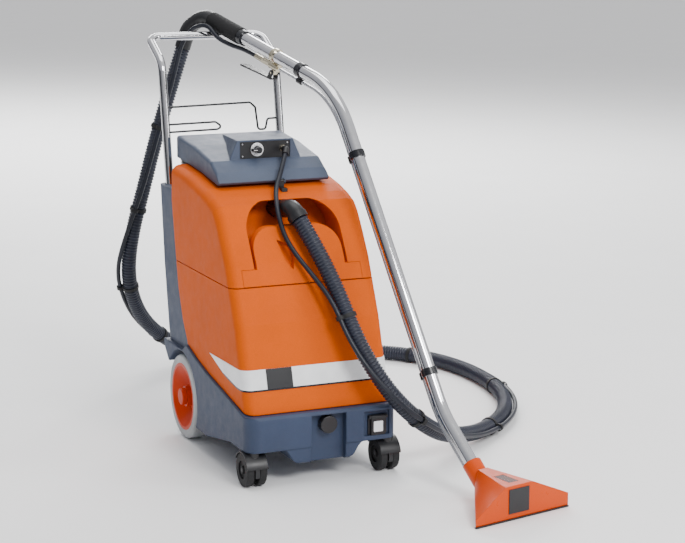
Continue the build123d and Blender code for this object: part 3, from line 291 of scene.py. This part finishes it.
def moulded(name, colour, rough=0.42, mottle=0.12, grain=0.00025, edge=0.003, coat=0.0, specular=0.45):
    """Moulded plastic: cloudy colour, a fine pebbled skin and slow ripples in the wall."""
    n = Nodes(name)
    cloud = n.noise(9.0, 5.0, 0.6)
    speck = n.noise(420.0, 2.0, 0.7)
    base = n.ramp(cloud, [(0.3, shade(colour, 1 - mottle)), (0.52, colour),
                          (0.75, shade(colour, 1 + mottle))])
    fine = n.ramp(speck, [(0.35, (0.86, 0.86, 0.86)), (0.6, (1.0, 1.0, 1.0))])
    mix = n.add("ShaderNodeMix", data_type="RGBA", blend_type="MULTIPLY")
    mix.inputs["Factor"].default_value = 0.55
    n.join(base, mix.inputs["A"])
    n.join(fine, mix.inputs["B"])
    n.join(mix.outputs["Result"], n.shader.inputs["Base Color"])
    scuff = n.noise(38.0, 6.0, 0.7)
    n.join(n.spread(scuff, rough - 0.06, rough + 0.1), n.shader.inputs["Roughness"])
    n.bump((n.noise(14.0, 2.0), 0.0012, 0.35), (speck, grain, 0.5), round_edges=edge)
    n.set(Specular_IOR_Level=specular, Coat_Weight=coat, Coat_Roughness=0.2)
    return n.material


def glossy(name, colour, rough=0.16, edge=0.0015, coat=0.3):
    n = Nodes(name)
    cloud = n.noise(22.0, 4.0)
    n.join(n.ramp(cloud, [(0.35, shade(colour, 0.93)), (0.7, shade(colour, 1.07))]),
           n.shader.inputs["Base Color"])
    n.join(n.spread(n.noise(160.0, 5.0, 0.75), rough * 0.75, rough * 1.5), n.shader.inputs["Roughness"])
    n.bump((n.noise(30.0, 2.0), 0.0004, 0.25), (n.noise(700.0, 2.0), 0.00005, 0.4), round_edges=edge)
    n.set(Coat_Weight=coat, Coat_Roughness=0.08)
    return n.material


def metal(name, colour, rough, stretch=(1, 1, 1), edge=0.0):
    n = Nodes(name)
    smear = n.noise(60.0, 6.0, 0.65, stretch)
    n.join(n.ramp(smear, [(0.3, shade(colour, 0.92)), (0.7, colour)]), n.shader.inputs["Base Color"])
    n.join(n.spread(n.noise(240.0, 6.0, 0.8, stretch), rough * 0.6, rough * 1.8),
           n.shader.inputs["Roughness"])
    n.bump((n.noise(18.0, 2.0), 0.0003, 0.2), (n.noise(900.0, 1.0, 0.5, stretch), 0.00002, 0.4),
           round_edges=edge)
    n.set(Metallic=1.0)
    return n.material


def rubbery(name, colour, rough=0.7, scale=260.0, depth=0.0003, edge=0.001):
    n = Nodes(name)
    grit = n.noise(scale, 4.0, 0.7)
    cloud = n.noise(17.0, 4.0)
    n.join(n.ramp(cloud, [(0.3, shade(colour, 0.8)), (0.7, shade(colour, 1.2))]),
           n.shader.inputs["Base Color"])
    n.join(n.spread(grit, rough - 0.08, rough + 0.12), n.shader.inputs["Roughness"])
    n.bump((grit, depth, 0.7), round_edges=edge)
    n.set(Specular_IOR_Level=0.35)
    return n.material


def smoked_plastic(name):
    n = Nodes(name)
    n.join(n.ramp(n.noise(30.0), [(0.3, (0.10, 0.03, 0.02)), (0.7, (0.16, 0.05, 0.03))]),
           n.shader.inputs["Base Color"])
    n.join(n.spread(n.noise(200.0, 4.0), 0.05, 0.14), n.shader.inputs["Roughness"])
    n.bump((n.noise(40.0), 0.0003, 0.3), round_edges=0.001)
    n.set(Transmission_Weight=0.35, Coat_Weight=0.5)
    return n.material


ORANGE = moulded("orange_tank", (0.66, 0.096, 0.0), rough=0.5, mottle=0.05, specular=0.06)
SLATE = moulded("slate_chassis", (0.026, 0.042, 0.088), rough=0.54, mottle=0.14, grain=0.0004, edge=0.005)
HOOD = moulded("slate_cover", (0.058, 0.078, 0.125), rough=0.50, mottle=0.12, grain=0.0004, edge=0.004)
BLACK = moulded("black_plastic", (0.012, 0.012, 0.014), rough=0.36, mottle=0.1, grain=0.0001, edge=0.001)
GLOSS_BLACK = glossy("gloss_black", (0.004, 0.005, 0.008), rough=0.24, coat=0.0)
RED_ORANGE = moulded("rim_orange", (0.56, 0.036, 0.0), rough=0.34, mottle=0.08, grain=0.0001, edge=0.002,
                     specular=0.15)
TOOL_ORANGE = moulded("tool_orange", (0.62, 0.062, 0.0), rough=0.32, mottle=0.04, grain=0.0001,
                      edge=0.0035, specular=0.2)
WHITE = glossy("white_film", (0.90, 0.91, 0.92), rough=0.3, edge=0.0)
TYRE = rubbery("grey_tyre", (0.40, 0.42, 0.43), rough=0.6, edge=0.003)
RUBBER = rubbery("black_rubber", (0.012, 0.012, 0.013), rough=0.62)
FOAM = rubbery("grip_foam", (0.012, 0.012, 0.013), rough=0.85, scale=600.0, depth=0.0008)
CHROME = metal("chrome_tube", (0.68, 0.68, 0.70), 0.09)
STEEL = metal("plain_steel", (0.50, 0.50, 0.52), 0.28)
BRASS = metal("brass_parts", (0.55, 0.50, 0.38), 0.2, edge=0.0006)
GREY_METAL = metal("motor_can", (0.35, 0.35, 0.37), 0.35)
HOSE = rubbery("hose_plastic", (0.017, 0.020, 0.034), rough=0.34, scale=180.0, depth=0.0001)
THIN_HOSE = rubbery("thin_hose_plastic", (0.010, 0.012, 0.020), rough=0.36, scale=320.0, depth=0.0001)
SMOKED = smoked_plastic("smoked_window")

FINISH = {
    "tank_plastic": ORANGE, "chassis_plastic": SLATE, "cover_plastic": HOOD, "black_plastic": BLACK,
    "gloss_black": GLOSS_BLACK, "orange_plastic": RED_ORANGE, "white_film": WHITE, "grey_tyre": TYRE,
    "rubber": RUBBER, "foam": FOAM, "castor_tread": RUBBER, "chrome": CHROME, "steel": STEEL,
    "brass": BRASS, "hose": HOSE, "thin_hose": THIN_HOSE, "smoked": SMOKED, "motor_metal": GREY_METAL,
}
for part in frame["record"]["subparts"]:
    obj = NODES[part["node"]]
    obj.data.materials.clear()
    obj.data.materials.append(FINISH[part["material_slot"]])
NODES["floor_tool"].data.materials[0] = TOOL_ORANGE
NODES["control_panel"].data.materials[0] = BLACK

# ---- the two free hoses ---------------------------------------------------------------------
# Control points in the part's drawing frame, from the machine round behind it to the wand.
HOSE_ROUTE = [at(*p) for p in (
    (6.9, 136.5, 556.8), (34, 88, 488), (64, 44, 396), (84, 4, 312), (114, -34, 238), (168, -54, 160),
    (254, -34, 90), (346, 44, 46), (452, 118, 22), (552, 202, 20), (628, 308, 20), (680, 430, 20),
    (706, 562, 20), (706, 698, 20), (674, 830, 20), (600, 938, 20), (488, 1012, 20), (362, 1062, 20),
    (232, 1088, 22), (104, 1088, 32), (0, 1052, 78), (-84, 990, 146), (-142, 926, 226), (-168, 888, 322),
    (-158, 866, 430), (-132, 850, 535), (-106, 842, 640), (-76, 834, 745), (-50, 826, 830), (-32, 820, 890))]
SPRAY_ROUTE = [at(*p) for p in (
    (37, 297, 682), (23, 277, 662), (8, 259, 638), (-9, 237, 616), (-24, 200, 598), (-34, 160, 564),
    (-31, 130, 522), (-14, 104, 484), (8, 80, 450), (41, 31, 392), (62, -10, 312), (98, -56, 238),
    (166, -81, 160), (266, -58, 90), (362, 23, 46), (468, 97, 22), (571, 184, 20), (651, 295, 20),
    (705, 422, 20), (732, 559, 20), (732, 701, 20), (698, 841, 20), (619, 957, 20), (500, 1035, 20),
    (369, 1087, 20), (235, 1114, 22), (100, 1114, 32), (-12, 1075, 78), (-102, 1009, 146),
    (-162, 942, 226), (-198, 891, 322), (-178, 848, 430), (-143, 826, 535), (-113, 817, 640),
    (-83, 809, 745), (-57, 800, 842), (-46, 790, 900), (-26, 764, 944), (-1.1, 715.9, 955.2),
    (10.3, 682.9, 923.9), (37.1, 654.2, 906.2), (56.3, 603.9, 898.0), (66.6, 557.0, 886.0))]

HOSE_R = 0.019
RIB_PITCH = 0.0078
RIB_DEPTH = 0.0026
SPRAY_R = 0.0055


def ribbed(distance):
    """Radius of the corrugated hose: rounded ribs with narrow grooves between them."""
    wave = 0.5 + 0.5 * cos(2 * pi * distance / RIB_PITCH)
    return HOSE_R - RIB_DEPTH * wave ** 2.2


vacuum_line = even(sampled(HOSE_ROUTE), RIB_PITCH / 6)
vacuum_hose = tube("vacuum_hose_ribbed", vacuum_line, ribbed, HOSE, sides=28)
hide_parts("vacuum_hose")

spray_curve = spline_curve("spray_hose_line", SPRAY_ROUTE)
spray_curve.bevel_depth = SPRAY_R
spray_curve.bevel_resolution = 5
spray_curve.use_fill_caps = True
spray_hose = link(bpy.data.objects.new("spray_hose_line", spray_curve), THIN_HOSE)
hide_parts("spray_hose")
spray_line = sampled(SPRAY_ROUTE)

# ---- stripe: the dark line under the white band -----------------------------------------------
TANK_HALF_W = 172.0
TANK_EDGE_R = 22.0
BAND_LOW = 210.7              # lower edge of the white band across the front
LINE_H = 3.5
LINE_OUT = 0.9                # how far the line stands out from the tank


def front_y(z):
    """Front face of the lower tank at a height, in the drawing frame."""
    return (z - 158.5) / 99.5 * 30 if z < 258 else 30 + (z - 258) / 87 * 28


def around(z, grow, t):
    """A point on the tank's skin at a height: t runs from -1 on the left side to 1 on the right."""
    run, sign = abs(t) * 400.0, 1 if t > 0 else -1
    flat = TANK_HALF_W - TANK_EDGE_R
    y0 = front_y(z)
    turn = pi / 2 * TANK_EDGE_R
    if run < flat:
        x, y = run, y0 - grow
    elif run < flat + turn:
        a = (run - flat) / TANK_EDGE_R
        x, y = flat + (TANK_EDGE_R + grow) * sin(a), y0 + TANK_EDGE_R - (TANK_EDGE_R + grow) * cos(a)
    else:
        x, y = TANK_HALF_W + grow, y0 + TANK_EDGE_R + run - flat - turn
    return at(sign * x, y, z)


def under_line():
    """A dark line that follows the white band's lower edge and thins out along each side."""
    rows, verts, faces = 160, [], []
    for i in range(rows + 1):
        t = -0.82 + 1.64 * i / rows
        past = max(0.0, abs(t) * 400 - TANK_HALF_W)
        rise = 12.0 * max(0.0, past - 35) / 90 if past < 125 else 12.0 + 25.0 * (past - 125) / 88
        high = BAND_LOW + rise
        low = high - max(0.3, LINE_H * min(1.0, (156 - past) / 70))
        for z, grow in ((low, 0.0), (low, LINE_OUT), (high, LINE_OUT), (high, 0.0)):
            verts.append(around(z, grow, t))
    for i in range(rows):
        for k in range(4):
            a, b = i * 4 + k, i * 4 + (k + 1) % 4
            faces.append((a, b, b + 4, a + 4))
    faces += [(3, 2, 1, 0), (rows * 4, rows * 4 + 1, rows * 4 + 2, rows * 4 + 3)]
    line = mesh_object("stripe_under_line", verts, faces, GLOSS_BLACK, smooth=False)


under_line()

# ---- control panel ------------------------------------------------------------------------------
PANEL_Y = 328.0
DIAL_X = -20.0
DIAL_Z = 692.0


def dial():
    """The white ring with eleven tick marks, and the pointer that turns with the knob."""
    face = PANEL_Y - 0.5
    ring = turned("dial_scale", [(8.4, 0.0), (15.6, 0.0), (15.6, 0.5), (15.2, 0.9), (8.8, 0.9), (8.4, 0.5)],
                  at(DIAL_X, face, DIAL_Z), (0, -1, 0), WHITE, sides=48)
    verts, faces = [], []
    for k in range(11):
        a = radians(-60 + 30 * k)
        out, across = Vector((cos(a), 0, sin(a))), Vector((-sin(a), 0, cos(a)))
        n = len(verts)
        for r, s, h in ((11.5, -0.35, 0), (14.6, -0.35, 0), (14.6, 0.35, 0), (11.5, 0.35, 0),
                        (11.5, -0.35, 0.25), (14.6, -0.35, 0.25), (14.6, 0.35, 0.25), (11.5, 0.35, 0.25)):
            p = out * r + across * s
            verts.append(at(DIAL_X + p.x, face - 0.9 - h, DIAL_Z + p.z))
        faces += [(n, n + 1, n + 2, n + 3), (n + 7, n + 6, n + 5, n + 4), (n, n + 4, n + 5, n + 1),
                  (n + 1, n + 5, n + 6, n + 2), (n + 2, n + 6, n + 7, n + 3), (n + 3, n + 7, n + 4, n)]
    ticks = mesh_object("dial_ticks", verts, faces, GLOSS_BLACK, smooth=False)
    pointer = rounded_plate("knob_pointer", at(DIAL_X - 9, PANEL_Y - 16, DIAL_Z),
                            (1, 0, 0), (0, 0, 1), (0, -1, 0), 4.6, 0.7, 0.5, 0.35, WHITE, "knob")


dial()


def screw(name, centre, out, radius):
    """A pan head with a round recess."""
    profile = [(0.05, 0.0), (radius, 0.0), (radius, 0.25 * radius), (radius * 0.8, 0.5 * radius),
               (radius * 0.34, 0.62 * radius), (radius * 0.3, 0.3 * radius), (0.05, 0.28 * radius)]
    head = turned(name, profile, centre, out, STEEL, sides=24)


for i, (x, z) in enumerate(((-55, 677), (55, 677), (-55, 705), (55, 705))):
    screw(f"panel_screw_{i}", at(x, PANEL_Y + 1, z), (0, -1, 0), 1.9)

# ---- plain plate on the socket flap ---------------------------------------------------------------
plate = rounded_plate("socket_plate", at(129, -22.2, 110), (1, 0, 0), (0, 0, 1), (0, -1, 0),
                      11, 12, 1.5, 0.6, WHITE, "flap")

# ---- floor and light ------------------------------------------------------------------------------
def stage_material():
    n = Nodes("floor_paper")
    n.join(n.ramp(n.noise(3.0, 4.0), [(0.3, (0.93, 0.93, 0.93)), (0.7, (0.95, 0.95, 0.95))]),
           n.shader.inputs["Base Color"])
    n.join(n.spread(n.noise(90.0), 0.7, 0.85), n.shader.inputs["Roughness"])
    n.bump((n.noise(500.0), 0.0001, 0.2))
    return n.material


floor_mesh = bpy.data.meshes.new("floor")
floor_mesh.from_pydata([(-30, -30, 0), (30, -30, 0), (30, 30, 0), (-30, 30, 0)], [], [(0, 1, 2, 3)])
floor = bpy.data.objects.new("floor", floor_mesh)
floor_mesh.materials.append(stage_material())
bpy.context.scene.collection.objects.link(floor)
floor.location.z = -0.0005

# The world darkens towards the horizon and to the left, so that the chrome has something to mirror.
world = bpy.data.worlds.new("studio")
world.use_nodes = True
tree = world.node_tree
coords = tree.nodes.new("ShaderNodeTexCoord")
split = tree.nodes.new("ShaderNodeSeparateXYZ")
bands = tree.nodes.new("ShaderNodeValToRGB")
for position, level in ((0.08, 0.06), (0.16, 0.60), (0.32, 1.0)):
    stop = bands.color_ramp.elements.new(position)
    stop.color = (level, level, level * 1.03, 1.0)
bands.color_ramp.elements[0].color = (0.16, 0.17, 0.19, 1.0)
bands.color_ramp.elements[-1].color = (1.0, 1.0, 1.0, 1.0)
tree.links.new(coords.outputs["Generated"], split.inputs["Vector"])
tree.links.new(split.outputs["Z"], bands.inputs["Fac"])
sides = tree.nodes.new("ShaderNodeValToRGB")
sides.color_ramp.elements[0].color = (0.42, 0.43, 0.46, 1.0)
sides.color_ramp.elements[1].position = 0.5
sides.color_ramp.elements[1].color = (1.0, 1.0, 1.0, 1.0)
shift = tree.nodes.new("ShaderNodeMapRange")
shift.inputs["From Min"].default_value = -1.0
tree.links.new(split.outputs["X"], shift.inputs["Value"])
tree.links.new(shift.outputs["Result"], sides.inputs["Fac"])
both = tree.nodes.new("ShaderNodeMix")
both.data_type, both.blend_type = "RGBA", "MULTIPLY"
both.inputs["Factor"].default_value = 1.0
tree.links.new(bands.outputs["Color"], both.inputs["A"])
tree.links.new(sides.outputs["Color"], both.inputs["B"])
tree.links.new(both.outputs["Result"], tree.nodes["Background"].inputs["Color"])
tree.nodes["Background"].inputs["Strength"].default_value = 0.95
bpy.context.scene.world = world


def area_light(name, place, size, power, target=(0.0, -0.1, 0.45)):
    data = bpy.data.lights.new(name, "AREA")
    data.shape = "RECTANGLE"
    data.size, data.size_y = size
    data.energy = power
    lamp = bpy.data.objects.new(name, data)
    lamp.location = place
    lamp.rotation_euler = (Vector(target) - Vector(place)).to_track_quat("-Z", "Y").to_euler()
    bpy.context.scene.collection.objects.link(lamp)


area_light("key", (0.6, -4.0, 3.2), (1.4, 1.4), 150)
area_light("fill", (3.4, -2.6, 2.2), (0.7, 2.0), 40)
area_light("top", (0.2, 0.4, 4.2), (3.2, 3.2), 80)
area_light("back", (1.2, 6.0, 3.2), (6.0, 1.6), 420, (0.0, 5.0, 0.0))
